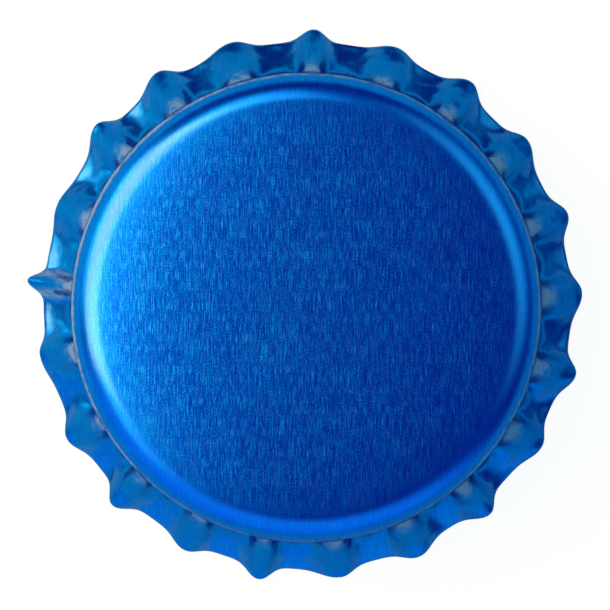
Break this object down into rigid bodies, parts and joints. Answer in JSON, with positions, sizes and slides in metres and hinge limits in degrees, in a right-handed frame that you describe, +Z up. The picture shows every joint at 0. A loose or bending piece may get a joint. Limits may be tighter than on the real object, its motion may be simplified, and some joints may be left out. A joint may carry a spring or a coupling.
{
  "type": "crown bottle cap",
  "caption": "Round crown bottle cap, unused, with a flat brushed panel, a rounded shoulder and a fluted flared skirt, lacquered blue, with a moulded sealing liner inside.",
  "frame": {"origin": "bottom centre: on the plane of the rim, under the middle of the panel", "axes": "+Z up through the panel, along the cap's axis; +X and +Y lie in the plane of the rim, with the brushed grain along Y"},
  "size_m": [0.0325, 0.0321, 0.006],
  "materials": {
    "lacquered_tinplate": "transparent blue lacquer over brushed tinplate, gloss",
    "liner_compound": "moulded soft polyethylene, satin"
  },
  "bodies": {
    "root": {"crown_shell": "lacquered_tinplate", "sealing_liner": "liner_compound"}
  },
  "joints": []
}
